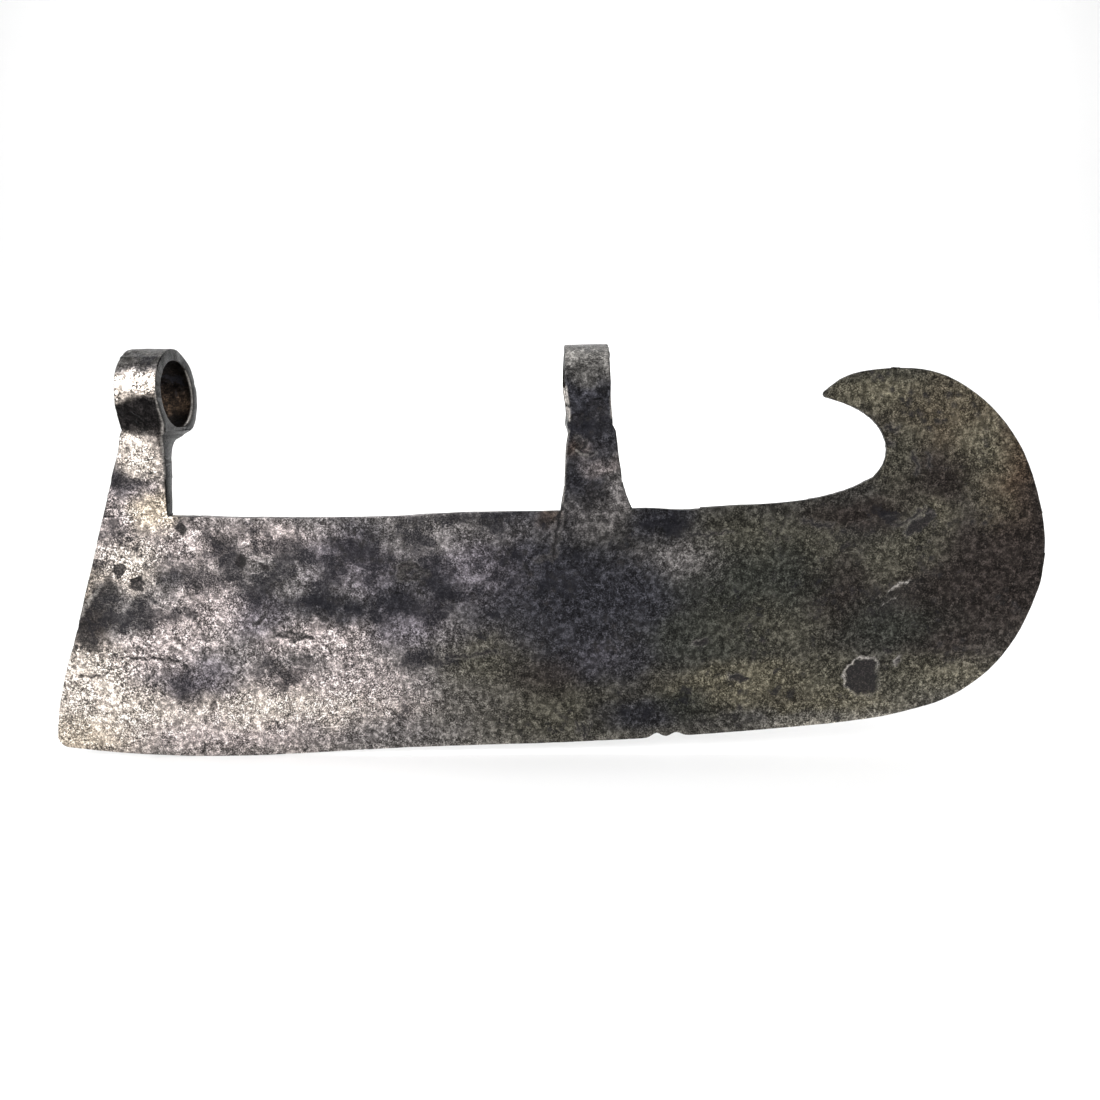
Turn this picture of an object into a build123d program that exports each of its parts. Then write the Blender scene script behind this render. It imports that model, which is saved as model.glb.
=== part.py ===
from build123d import *
import os
from math import cos, radians, sin, tan

# A forged cleaver that hangs on a wooden bar. Its iron blade has a hooked nose, a strip
# of steel is welded into the cutting edge, and two iron straps, each bent round into an
# eye, are let into both faces of the blade below its spine.
#
# Frame, in millimetres: the origin is the centre of the heel eye's bore. +X runs along
# both bores from the heel towards the hooked nose. +Z is up, away from the cutting edge.
# +Y is the side that the eyes stand out on, because the blade hangs off the bar's centre.

# ---- Driving dimensions -------------------------------------------------------------

# The eyes, and the round bar that passes through both of them
bore_radius = 16.5            # takes a bar of 32 mm with half a millimetre all round
eye_wall = 6.2                # thickness of the strap where it is bent round the bore
eye_spacing = 217.2           # from the heel eye to the centre eye, along the bar
heel_eye_width = 20.6         # length of each eye along the bar
centre_eye_width = 22.6
eye_offset = 13.8             # how far the bar's axis stands behind the blade's middle

# The blade, seen from the side
blade_length = 512.0          # heel corner to nose
blade_depth = 129.0           # spine down to the lowest point of the cutting edge
hook_height = 68.7            # spine up to the top of the hook
heel_overhang = 62.8          # how far the heel corner lies behind the heel eye's centre
spine_drop = 60.0             # bar axis down to the spine
spine_sag = 1.8               # how far the spine dips between the two straps
heel_rake = 18.8              # lean of the heel edge, in degrees
heel_corner_radius = 6.2
nose_height = 105.0           # lowest point of the cutting edge up to the front of the nose
hook_reach = 116.5            # hook tip back from the nose
hook_gullet = 83.5            # deepest point of the hook's inner curve, back from the nose
beak_drop = 12.7              # top of the hook down to its tip

# Thickness of the blade, which is a wedge in both directions
heel_thickness = 6.4          # at the spine, above the heel
nose_thickness = 2.6          # level with the spine, at the nose
hook_top_thickness = 2.2      # at the nose end, level with the top of the hook
bevel_start_heel = 3.0        # where the cutting bevel starts
bevel_start_nose = 1.8
edge_thickness = 0.6          # the cutting edge itself, blunted by use
bevel_height = 10.0

# The straps, from the front: distances from the centre of each eye
heel_neck_left = 12.1
heel_neck_right = 8.0
heel_base_right = 7.2
centre_neck_left = 9.9
centre_neck_right = 12.6
centre_base_left = 15.4
centre_base_right = 22.4
centre_toe_left = 18.0
foot_depth = 32.0             # how far the two legs of a strap reach below the spine
foot_corner_radius = 9.0
cheek_thickness = 1.5         # each leg, let into its face of the blade

# The straps, from the end
neck_thickness = 10.5         # both legs together, just below the eye
neck_drop = 27.0              # bar axis down to where the back of the neck starts
neck_step = 3.0               # height of the step from the eye's width to the neck's
eye_departure = 25.0          # degrees below the bar's axis where the front leaves the eye
throat_radius = 10.0          # hollow behind the neck, where the eye turns into the leg

# The steel along the cutting edge
steel_depth = 14.0            # height of steel that shows above the cutting edge
steel_at_nose = 9.0           # its width where it runs up the nose
tongue_depth = 11.0           # how far its tongue reaches up into the iron
tongue_thickness = 0.8

# ---- Places worked out from the dimensions ------------------------------------------

blade_y = -eye_offset
heel_x = -heel_overhang
nose_x = heel_x + blade_length
spine_z = -spine_drop
edge_z = spine_z - blade_depth
hook_top_z = spine_z + hook_height
hook_tip_z = hook_top_z - beak_drop
eye_radius = bore_radius + eye_wall
foot_z = spine_z - foot_depth
margin = 40.0                 # how far a cutting shape stands clear of the whole model
neck_front_y = blade_y - heel_thickness / 2
crease_run = (eye_radius * cos(radians(eye_departure)) + neck_front_y) / sin(radians(eye_departure))
crease_z = -eye_radius * sin(radians(eye_departure)) - crease_run * cos(radians(eye_departure))
neck_z = crease_z - neck_step


def heel_edge_x(z):
    """Place of the heel edge at height z. The heel strap's outer side carries it on upwards."""
    return -heel_neck_left - (neck_z - z) * tan(radians(heel_rake))


def along(start, end, x):
    """Value at x of a size that changes evenly from the heel to the nose."""
    return start + (end - start) * (x - heel_x) / (nose_x - heel_x)


def prism(face, low_y=-margin - eye_offset, high_y=margin):
    """A side view, drawn in X and Z, extruded across the blade from low_y to high_y."""
    return Pos(0, high_y, 0) * extrude(Plane.XZ * face, high_y - low_y)


# ---- Blade --------------------------------------------------------------------------

def nose(back, z):
    """A point measured back from the nose."""
    return (nose_x - back, z)


def blade_side_view():
    """Outline of the blade: cutting edge, belly, nose, hook, spine and heel."""
    corner_low = edge_z + 5.8
    heel_foot_z = edge_z + 26.0
    heel_foot = (heel_edge_x(heel_foot_z), heel_foot_z)
    heel_corner = (heel_x, corner_low + heel_corner_radius)
    edge_start = (heel_x + heel_corner_radius, corner_low)
    nose_front = nose(0.0, edge_z + nose_height)
    beak_front = nose(hook_reach - 1.9, hook_tip_z + 2.9)
    beak_tip = nose(hook_reach, hook_tip_z)
    beak_under = nose(hook_reach - 2.9, hook_tip_z - 1.9)
    mouth_floor = nose(hook_gullet + 30.7, spine_z + 5.4)
    spine_front = (eye_spacing + centre_base_right + 5.0, spine_z)
    floor_run = mouth_floor[0] - spine_front[0]
    spine_centre = (eye_spacing - centre_base_left - 2.0, spine_z)
    spine_heel = (heel_base_right + 2.0, spine_z)
    spine_dip = ((spine_centre[0] + spine_heel[0]) / 2, spine_z - spine_sag)
    heel_top = (heel_edge_x(spine_z), spine_z)
    cutting_edge = Spline(
        edge_start,
        (heel_x + 0.08 * blade_length, edge_z + 1.9),
        (heel_x + 0.17 * blade_length, edge_z),
        (heel_x + 0.35 * blade_length, edge_z + 3.5),
        (heel_x + 0.51 * blade_length, edge_z + 5.3),
        (heel_x + 0.69 * blade_length, edge_z + 10.0),
        (heel_x + 0.83 * blade_length, edge_z + 16.5),
        nose(47.5, edge_z + 26.0),
        nose(20.0, edge_z + 46.6),
        nose(8.3, edge_z + 65.8),
        nose(1.6, edge_z + 85.5),
        nose_front,
        tangents=[(1.0, -0.15), (0.0, 1.0)],
    )
    hook_back = Spline(
        nose_front,
        nose(4.9, spine_z + 2.6),
        nose(12.9, spine_z + 22.7),
        nose(26.2, hook_top_z - 26.2),
        nose(42.9, hook_top_z - 11.5),
        nose(59.7, hook_top_z - 3.0),
        nose(79.4, hook_top_z),
        nose(98.8, hook_top_z - 1.8),
        nose(hook_reach - 8.2, hook_top_z - 5.2),
        tangents=[(0.0, 1.0), (-1.0, -0.5)],
    )
    gullet = Spline(
        beak_under,
        nose(hook_gullet + 18.3, hook_tip_z - 5.8),
        nose(hook_gullet + 7.0, hook_tip_z - 13.2),
        nose(hook_gullet, spine_z + 28.2),
        nose(hook_gullet + 2.3, spine_z + 19.4),
        nose(hook_gullet + 10.9, spine_z + 12.3),
        mouth_floor,
        (mouth_floor[0] - 0.33 * floor_run, spine_z + 2.3),
        (mouth_floor[0] - 0.67 * floor_run, spine_z + 0.8),
        spine_front,
        tangents=[(1.0, -0.25), (-1.0, 0.0)],
    )
    outline = [
        TangentArc(heel_corner, edge_start, tangent=(0.0, -1.0)),
        cutting_edge,
        hook_back,
        Line(hook_back @ 1, beak_front),
        ThreePointArc(beak_front, beak_tip, beak_under),
        gullet,
        Line(spine_front, spine_centre),
        ThreePointArc(spine_centre, spine_dip, spine_heel),
        Line(spine_heel, heel_top),
        Line(heel_top, heel_foot),
        Line(heel_foot, heel_corner),
    ]
    return make_face(outline)


def blade_section(x, levels):
    """Cross-section of the wedge at x, through (height, thickness) pairs from top to edge."""
    back = [(blade_y + thickness / 2, z) for z, thickness in levels]
    front = [(blade_y - thickness / 2, z) for z, thickness in reversed(levels)]
    return Plane.YZ.offset(x) * make_face(Polyline(*back, *front, close=True))


def blade_wedge():
    """The faces of the blade, thinner towards the nose and towards the cutting edge."""
    top_z = hook_top_z + 2.0
    heel_edge_z = edge_z - 5.0
    nose_edge_z = edge_z + 9.0
    at_heel = [
        (top_z, heel_thickness),
        (spine_z, heel_thickness),
        (heel_edge_z + bevel_height + 4.0, bevel_start_heel),
        (heel_edge_z, edge_thickness),
    ]
    at_nose = [
        (top_z, hook_top_thickness),
        (spine_z, nose_thickness),
        (nose_edge_z + bevel_height + 4.0, bevel_start_nose),
        (nose_edge_z, edge_thickness),
    ]
    over = 1.0
    ends = [blade_section(heel_x - over, at_heel), blade_section(nose_x + over, at_nose)]
    return loft(ends, ruled=True)


def below_nose(face):
    """The part of a side view that lies below the front of the nose."""
    top = edge_z + nose_height
    width = blade_length + 2 * margin
    height = blade_depth + margin
    centre = (heel_x + blade_length / 2, top - height / 2)
    return face & Pos(*centre) * Rectangle(width, height)


def edge_band(side_view, width_at_nose, height):
    """The strip along the cutting edge that stays when the outline moves back and up."""
    return below_nose(side_view - Pos(-width_at_nose, height) * side_view)


def cutting_steel(side_view, blade):
    """Steel strip with a thin tongue along its top, which the iron closes on."""
    strip = blade & prism(edge_band(side_view, steel_at_nose, steel_depth))
    tongue_band = edge_band(side_view, steel_at_nose + tongue_depth, steel_depth + tongue_depth)
    low_y = blade_y - tongue_thickness / 2
    tongue = blade & prism(tongue_band, low_y, low_y + tongue_thickness)
    return strip + tongue


# ---- Eye straps ---------------------------------------------------------------------

def strap_end_view(base_thickness):
    """The strap from the end: eye, front that runs off it, neck and hollow throat."""
    leave_y = -eye_radius * cos(radians(eye_departure))
    leave_z = -eye_radius * sin(radians(eye_departure))
    neck_back_y = neck_front_y + neck_thickness
    base_back_y = blade_y + base_thickness / 2
    rise = (-neck_drop - spine_z)
    back_slope = (neck_back_y - base_back_y) / rise
    inside_back = (neck_back_y + back_slope * neck_drop, 0.0)
    leg = Polyline(
        (0.0, 0.0),
        (leave_y, leave_z),
        (neck_front_y, crease_z),
        (blade_y - base_thickness / 2, spine_z),
        (base_back_y, spine_z),
        inside_back,
        close=True,
    )
    solid_view = Circle(eye_radius) + make_face(leg)
    throat = solid_view.vertices().sort_by_distance((neck_back_y, -eye_radius))[0]
    solid_view = fillet(throat, throat_radius)
    return solid_view - Circle(bore_radius)


def strap_front_view(width, neck, base, toe):
    """The strap from the front; neck, base and toe are (left, right) places in X."""
    half = width / 2
    top = eye_radius + 1.0
    flare = (neck[1] + 0.28 * (base[1] - neck[1]), (neck_z + spine_z) / 2)
    outline = [
        Line((-half, crease_z), (-half, top)),
        Line((-half, top), (half, top)),
        Line((half, top), (half, crease_z)),
        Line((half, crease_z), (neck[1], neck_z)),
        ThreePointArc((neck[1], neck_z), flare, (base[1], spine_z)),
        Line((base[1], spine_z), (toe[1], foot_z)),
        Line((toe[1], foot_z), (toe[0], foot_z)),
        Line((toe[0], foot_z), (base[0], spine_z)),
        Line((base[0], spine_z), (neck[0], neck_z)),
        Line((neck[0], neck_z), (-half, crease_z)),
    ]
    return make_face(outline)


def strap_eye(end_view, front_view):
    """Eye and neck: what the strap's end view and front view have in common."""
    reach = 2 * margin
    bar = Pos(-reach, 0, 0) * extrude(Plane.YZ * end_view, 2 * reach)
    return bar & prism(front_view)


def strap_legs(centre_x, front_view, round_left_toe, core, blade):
    """The two legs below the spine, one in each face, either side of the blade's core."""
    toes = front_view.vertices().filter_by_position(Axis.Y, foot_z - 1, foot_z + 1).sort_by(Axis.X)
    rounded = toes if round_left_toe else toes[1:]
    front_view = fillet(rounded, foot_corner_radius)
    below_spine = Pos(0, (foot_z + spine_z) / 2) * Rectangle(4 * margin, foot_depth)
    place = Pos(centre_x, 0, 0)
    legs = blade & place * prism(front_view & below_spine)
    return legs - place * prism(below_spine, blade_y - core / 2, blade_y + core / 2)


def eye_strap(centre_x, width, neck, base, toe, round_left_toe, blade):
    """One strap: an eye on a neck, and two legs let into the faces of the blade."""
    base_thickness = along(heel_thickness, nose_thickness, centre_x)
    core = base_thickness - 2 * cheek_thickness
    front_view = strap_front_view(width, neck, base, toe)
    eye = strap_eye(strap_end_view(base_thickness), front_view)
    legs = strap_legs(centre_x, front_view, round_left_toe, core, blade)
    return Pos(centre_x, 0, 0) * eye + legs


# ---- The model ----------------------------------------------------------------------

side_view = blade_side_view()
whole_blade = blade_wedge() & prism(side_view)
heel_strap = eye_strap(
    0.0,
    heel_eye_width,
    neck=(-heel_neck_left, heel_neck_right),
    base=(heel_edge_x(spine_z), heel_base_right),
    toe=(heel_edge_x(foot_z), heel_base_right),
    round_left_toe=False,
    blade=whole_blade,
)
centre_strap = eye_strap(
    eye_spacing,
    centre_eye_width,
    neck=(-centre_neck_left, centre_neck_right),
    base=(-centre_base_left, centre_base_right),
    toe=(-centre_toe_left, centre_base_right),
    round_left_toe=True,
    blade=whole_blade,
)
edge_steel = cutting_steel(side_view, whole_blade)
pieces = {
    "blade_body": whole_blade - heel_strap - centre_strap - edge_steel,
    "edge_steel": edge_steel,
    "heel_strap": heel_strap,
    "centre_strap": centre_strap,
}

os.makedirs("parts", exist_ok=True)
for name, piece in pieces.items():
    export_step(piece, f"parts/{name}.step")
    size = piece.bounding_box().size
    print(f"{name}: {piece.volume / 1000:.1f} cm3, {size.X:.1f} x {size.Y:.1f} x {size.Z:.1f} mm")
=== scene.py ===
# %% [markdown]
# # An old hand-forged cleaver
#
# The real tool is four forgings welded together in the fire: a long iron blade with a
# hooked nose, a strip of steel along its cutting edge, and two iron straps bent round
# into eyes for a wooden bar. The CAD model holds their true shapes and sizes. This
# lesson gives each piece its hammered, pitted surface and its patina.

import bmesh
import bpy
import numpy as np
from math import cos, radians, sin
from mathutils import Matrix, Vector, noise
from mathutils.bvhtree import BVHTree


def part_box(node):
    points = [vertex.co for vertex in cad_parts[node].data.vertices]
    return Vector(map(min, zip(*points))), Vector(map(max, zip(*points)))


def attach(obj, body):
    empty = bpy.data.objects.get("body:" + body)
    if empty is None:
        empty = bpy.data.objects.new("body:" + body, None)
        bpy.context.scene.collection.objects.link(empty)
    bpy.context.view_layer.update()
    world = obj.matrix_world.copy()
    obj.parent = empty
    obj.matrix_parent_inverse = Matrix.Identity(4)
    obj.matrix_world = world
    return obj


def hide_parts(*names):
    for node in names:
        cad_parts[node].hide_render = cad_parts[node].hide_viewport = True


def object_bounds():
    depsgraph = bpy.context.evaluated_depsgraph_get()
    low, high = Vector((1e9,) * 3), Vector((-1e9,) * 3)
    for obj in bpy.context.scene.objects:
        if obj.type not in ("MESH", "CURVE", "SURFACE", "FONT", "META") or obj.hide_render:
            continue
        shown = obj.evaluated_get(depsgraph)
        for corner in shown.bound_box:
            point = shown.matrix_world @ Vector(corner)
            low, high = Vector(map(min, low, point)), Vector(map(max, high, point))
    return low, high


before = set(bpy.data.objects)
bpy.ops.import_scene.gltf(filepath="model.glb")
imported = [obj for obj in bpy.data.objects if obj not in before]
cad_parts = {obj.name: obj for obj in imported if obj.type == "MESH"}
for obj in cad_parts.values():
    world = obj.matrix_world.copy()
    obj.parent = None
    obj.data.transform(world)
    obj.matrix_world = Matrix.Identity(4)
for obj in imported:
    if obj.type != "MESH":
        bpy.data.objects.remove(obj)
cad_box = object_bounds()
mm = 0.001
print("nodes:", sorted(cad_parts))

# %% [markdown]
# ## Camera, floor and light
#
# The tool is seen nearly square on, from a little above its hook. The camera is close,
# so a wide lens shows the inside of the heel eye, which lies far to the left.

# %% Camera
camera = bpy.data.objects.new("camera", bpy.data.cameras.new("camera"))
bpy.context.scene.collection.objects.link(camera)
camera.data.lens = 26
camera.data.sensor_width = 36
camera.data.clip_start = 0.01
looks_down = Matrix.Rotation(radians(90 - 10.3), 4, "X")
rolls = Matrix.Rotation(radians(-0.66), 4, "Z")
camera.matrix_world = Matrix.Translation((0.1981, -0.4108, -0.0077)) @ looks_down @ rolls
bpy.context.scene.camera = camera
bpy.context.scene.view_settings.view_transform = "Standard"
print("camera at", [round(v, 4) for v in camera.matrix_world.translation])

# %% [markdown]
# In a studio such a tool would stand on a sheet of white card that curves up behind it,
# so that no horizon shows. The sheet is one strip of faces swept from the floor, round a
# bend, and up the wall.

# %% Floor and backdrop in one sheet
def paint(name, colour, roughness):
    """A plain matt material."""
    material = bpy.data.materials.new(name)
    material.use_nodes = True
    shader = material.node_tree.nodes["Principled BSDF"]
    shader.inputs["Base Color"].default_value = (*colour, 1)
    shader.inputs["Roughness"].default_value = roughness
    return material


def finish_mesh(bm, name, material):
    """Turns a bmesh into an object with one material and smooth shading."""
    mesh = bpy.data.meshes.new(name)
    bm.to_mesh(mesh)
    bm.free()
    mesh.materials.append(material)
    for polygon in mesh.polygons:
        polygon.use_smooth = True
    piece = bpy.data.objects.new(name, mesh)
    bpy.context.scene.collection.objects.link(piece)
    return piece


def verts_of(geometry):
    """The vertices among what an operator gives back."""
    return [part for part in geometry if isinstance(part, bmesh.types.BMVert)]


def edges_of(geometry):
    """The edges among what an operator gives back."""
    return [part for part in geometry if isinstance(part, bmesh.types.BMEdge)]


floor_z = cad_box[0][2]
bend = 1.2
bm = bmesh.new()
ends = [bm.verts.new((x, -3.0, floor_z)) for x in (-4.0, 4.4)]
front_edge = bm.edges.new(ends)
run = bmesh.ops.extrude_edge_only(bm, edges=[front_edge])["geom"]
bmesh.ops.translate(bm, verts=verts_of(run), vec=(0, 4.4, 0))
back_edge = [e for e in edges_of(run) if all(v.co.y > 1 for v in e.verts)]
swept = bmesh.ops.spin(
    bm, geom=back_edge, cent=(0, 1.4, floor_z + bend), axis=(1, 0, 0),
    angle=radians(90), steps=24, use_duplicate=False,
)["geom_last"]
run = bmesh.ops.extrude_edge_only(bm, edges=edges_of(swept))["geom"]
bmesh.ops.translate(bm, verts=verts_of(run), vec=(0, 0, 2.5))
bmesh.ops.recalc_face_normals(bm, faces=bm.faces)
sheet = finish_mesh(bm, "studio_sheet", paint("white_card", (0.93, 0.93, 0.93), 0.9))
print("sheet faces:", len(sheet.data.polygons), "floor at", round(floor_z, 4))

# %% [markdown]
# Polished iron shows its surroundings more than its own colour. A large soft light at
# the left front brightens the heel end and puts one clean band across the heel eye. The
# room itself is a mid grey, so the hooked end stays dark. Weak lights from above and from
# the right fill the shadows, and the last one washes the card behind.

# %% Lights
def soft_light(name, at, towards, size, power):
    """A rectangular area light at one place, facing another."""
    data = bpy.data.lights.new(name, "AREA")
    data.shape = "RECTANGLE"
    data.size, data.size_y = size
    data.energy = power
    lamp = bpy.data.objects.new(name, data)
    bpy.context.scene.collection.objects.link(lamp)
    aim = (Vector(towards) - Vector(at)).to_track_quat("-Z", "Y")
    lamp.matrix_world = Matrix.Translation(at) @ aim.to_matrix().to_4x4()


middle = (0.19, 0.0, -0.1)
soft_light("left_softbox", (-0.72, -0.98, 0.60), (-0.05, 0, -0.05), (0.9, 1.15), 14)
soft_light("top_softbox", (0.2, -0.1, 1.3), middle, (1.2, 0.9), 10)
soft_light("right_fill", (1.3, -0.9, 0.4), middle, (0.6, 0.8), 3)
soft_light("backdrop_wash", (0.2, 0.9, 1.5), (0.2, 2.2, 0.2), (2.5, 0.6), 40)

world = bpy.data.worlds.new("studio")
bpy.context.scene.world = world
world.use_nodes = True
world.node_tree.nodes["Background"].inputs["Color"].default_value = (1, 1, 1, 1)
world.node_tree.nodes["Background"].inputs["Strength"].default_value = 0.55

# %% [markdown]
# ## From a CAD solid to a mesh that can be hammered
#
# A CAD node comes in as loose triangles, long and thin, with razor edges. Old iron is
# never like that: its edges are rubbed round and its faces are full of shallow dents.
# Sculpting by hand would do it. Here operators do it, so that every step repeats: weld
# the triangles, join the flat faces, round the edges, then cut the solid with parallel
# planes, which leaves small even faces that a height can move.

# %% Weld a copy of a node and join its flat faces
def merged_copy(node):
    """A closed bmesh of one CAD node."""
    bm = bmesh.new()
    bm.from_mesh(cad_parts[node].data)
    bmesh.ops.remove_doubles(bm, verts=bm.verts, dist=0.002 * mm)
    bmesh.ops.dissolve_limit(
        bm, angle_limit=radians(0.6), verts=bm.verts, edges=bm.edges
    )
    return bm


def surface_of(nodes):
    """A search tree over the surfaces of several CAD nodes."""
    bm = bmesh.new()
    for node in nodes:
        bm.from_mesh(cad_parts[node].data)
    tree = BVHTree.FromBMesh(bm)
    bm.free()
    return tree


def meets(tree, point, reach=0.04):
    """True where a point lies on a neighbour's surface, within reach in mm."""
    return tree.find_nearest(point, reach * mm)[0] is not None


# %% Round the edges that a hand can touch
def wear_edges(bm, neighbours, width, segments=2, sharp=35):
    """Bevels sharp outer edges; an edge pressed against a neighbour stays as it is."""
    chosen = []
    for edge in bm.edges:
        if len(edge.link_loops) != 2 or not edge.is_convex:
            continue
        if edge.calc_face_angle(0) < radians(sharp):
            continue
        middle_of = (edge.verts[0].co + edge.verts[1].co) / 2
        open_air = True
        for loop in edge.link_loops:
            along = (loop.link_loop_next.vert.co - loop.vert.co).normalized()
            inwards = loop.face.normal.cross(along)
            if meets(neighbours, middle_of + inwards * 0.3 * mm):
                open_air = False
        if open_air:
            chosen.append(edge)
    bmesh.ops.bevel(
        bm, geom=chosen, offset=width * mm, offset_type="OFFSET", affect="EDGES",
        segments=segments, profile=0.5, material=-1, clamp_overlap=False,
    )
    return len(chosen)


# %% Cut a solid into small faces with parallel planes
def cut_rows(bm, direction, start, stop, step, keep=None):
    """Bisects the mesh with planes square to a direction, from start to stop in mm."""
    count = int(round((stop - start) / step))
    for i in range(count + 1):
        place = (start + i * step) * mm
        faces = bm.faces[:] if keep is None else [f for f in bm.faces if keep(f)]
        edges = bm.edges[:] if keep is None else list({e for f in faces for e in f.edges})
        verts = bm.verts[:] if keep is None else list({v for f in faces for v in f.verts})
        bmesh.ops.bisect_plane(
            bm, geom=verts + edges + faces, dist=0.03 * mm,
            plane_co=Vector(direction) * place, plane_no=direction,
        )

# %% [markdown]
# ## Marks of long use
#
# A smith's hammer leaves shallow dents a thumb wide. Rust later eats small round pits,
# mostly where the iron lay damp, and slag inside the iron opens into cracks along its
# grain. Each mark here is a small function of the place on the blade's face: it says how
# far the surface moves there, how much dirt the mark holds, and how bright its lip is,
# partly rubbed bright and partly a painted highlight on the side towards the light.
# Places are in mm.

# %% Soft steps and shapes that the marks are made of
def smooth(t):
    """0 below 0, 1 above 1, and a soft step between."""
    t = np.clip(t, 0, 1)
    return t * t * (3 - 2 * t)


def turned(x, z, place, turn):
    """Coordinates about a place, turned by an angle in degrees."""
    dx, dz, a = x - place[0], z - place[1], radians(turn)
    return dx * cos(a) + dz * sin(a), dz * cos(a) - dx * sin(a)


def to_line(x, z, points):
    """Distance from each place to a broken line."""
    best = np.full(x.shape, 1e9)
    for (ax, az), (bx, bz) in zip(points, points[1:]):
        ux, uz = bx - ax, bz - az
        t = np.clip(((x - ax) * ux + (z - az) * uz) / (ux * ux + uz * uz), 0, 1)
        best = np.minimum(best, np.hypot(x - ax - t * ux, z - az - t * uz))
    return best


def ragged(x, z):
    """Shifts places by a little under a mm, this way and that, for uneven outlines."""
    across = 0.55 * np.sin(z / 1.25 + 1.7 * np.sin(x / 2.1)) + 0.35 * np.sin(z / 0.6 + x / 1.1)
    upward = 0.55 * np.sin(x / 1.15 + 1.9 * np.sin(z / 1.9)) + 0.35 * np.sin(x / 0.7 - z / 0.9)
    return x + across, z + upward


# %% Pits, cracks and flaked steps
def pit(x, z, place, size, turn, depth, lip=0.0, flat=None, steep=2.5):
    """A bowl with an optional raised lip and an optional straight side."""
    u, v = turned(x, z, place, turn)
    r = np.hypot(u / size[0], v / size[1])
    if flat is not None:
        r = np.maximum(r, 1 + (u - flat) / size[0])
    inside = smooth((1 - r) * steep)
    rim = np.exp(-(((r - 1.06) / 0.13) ** 2)) * lip
    # A painted highlight: the rubbed lip is made brighter on its upper left, the side that faces
    # the light.
    lit_upper_left = 0.12 + 0.88 * smooth(0.4 + 0.6 * (z - place[1] - x + place[0]) / max(size))
    rubbed = np.exp(-(((r - 1.04) * min(size) / 0.6) ** 2)) * min(0.8, 6 * max(0.0, lip - 0.22))
    soot = smooth((1.03 - r) * 2.4 * steep) * min(1.0, 7 * lip)
    return rim - depth * inside, soot, rubbed * lit_upper_left


def crack(x, z, points, width, depth):
    """A narrow groove along a broken line."""
    distance = to_line(x, z, points)
    inside = np.exp(-((distance / (1.25 * width)) ** 2))
    soot = np.minimum(1, 1.5 * inside)
    beside = np.exp(-(((distance - 2.2 * width) / (0.8 * width)) ** 2))
    return -1.2 * depth * inside, soot, 0.10 * beside * (1 - soot)


def flake(x, z, points, depth, reach):
    """A step along a line: the skin has come off on one side of it."""
    distance = to_line(x, z, points)
    (ax, az), (bx, bz) = points[0], points[-1]
    side = (bx - ax) * (z - az) - (bz - az) * (x - ax)
    off = side < 0
    fade = np.exp(-((distance / reach) ** 2))
    lip = 0.14 * np.exp(-((distance / 0.8) ** 2))
    height = np.where(off, -depth * fade * smooth(distance / 0.7), lip)
    rubbed = ~off * np.exp(-((distance / 0.6) ** 2)) * min(0.75, 3 * (depth - 0.2))
    return height, off * fade * 0.35, rubbed

# %% [markdown]
# The front of the blade carries the marks that give this tool its face: a deep rusty
# pit with one straight side, a scab under the hook, cracks that follow the grain, and
# chips inside the hook where it was pulled against something hard. The back has been
# given marks of its own, of the same kinds.

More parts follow.
